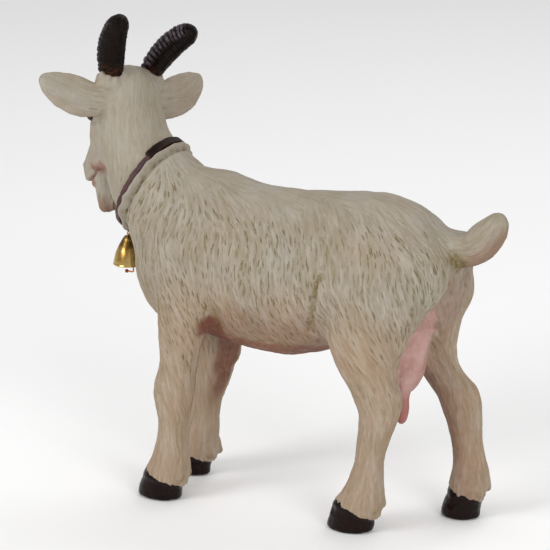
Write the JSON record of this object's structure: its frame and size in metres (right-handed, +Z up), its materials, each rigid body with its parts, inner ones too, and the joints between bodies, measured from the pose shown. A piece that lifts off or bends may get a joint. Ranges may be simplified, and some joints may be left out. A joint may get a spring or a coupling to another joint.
{
  "type": "goat figurine",
  "caption": "Standing nanny goat in painted cast resin, head turned to its right, with a collar and a small hanging bell with a loose clapper.",
  "frame": {"origin": "bottom centre of the bounding box, on the ground between the hooves", "axes": "+Z up; the goat faces -Y and its left side is towards +X"},
  "size_m": [0.044, 0.1208, 0.1237],
  "materials": {
    "coat": "hand-painted cast resin, matt cream-grey with olive wash in the carved hair",
    "udder": "painted cast resin, satin pink",
    "horn": "painted cast resin, satin black-brown",
    "hoof": "painted cast resin, gloss black",
    "eye": "painted bead, gloss dark brown",
    "strap": "thin dark brown strip",
    "bell_brass": "polished",
    "brass_wire": "bright wire",
    "steel_wire": "bright wire",
    "copper_wire": "coppery wire"
  },
  "bodies": {
    "goat": {"torso": "coat", "head": "coat", "beard": "coat", "tail": "coat", "ear_left": "coat", "ear_right": "coat", "horn_left": "horn", "horn_right": "horn", "eye_left": "eye", "eye_right": "eye", "udder": "udder", "collar_strap": "strap", "bell_staple": "steel_wire", "leg_front_left": "coat", "hoof_front_left": "hoof", "leg_front_right": "coat", "hoof_front_right": "hoof", "leg_hind_left": "coat", "hoof_hind_left": "hoof", "leg_hind_right": "coat", "hoof_hind_right": "hoof"},
    "ring": {"bell_ring": "steel_wire"},
    "bell": {"bell_shell": "bell_brass", "bell_hanger": "brass_wire"},
    "clapper": {"clapper": "copper_wire"}
  },
  "joints": [
    {"name": "ring_swing", "type": "hinge", "parent": "goat", "child": "ring", "pos_m": [0.00473, -0.0435, 0.06689], "axis": [-1, 0, 0], "range_deg": [-3, 55]},
    {"name": "bell_swing", "type": "hinge", "parent": "ring", "child": "bell", "pos_m": [0.00473, -0.0435, 0.06593], "axis": [0, 1, 0], "range_deg": [-35, 35]},
    {"name": "clapper_swing", "type": "hinge", "parent": "bell", "child": "clapper", "pos_m": [0.00473, -0.0435, 0.06334], "axis": [1, 0, 0], "range_deg": [-18, 18]}
  ]
}
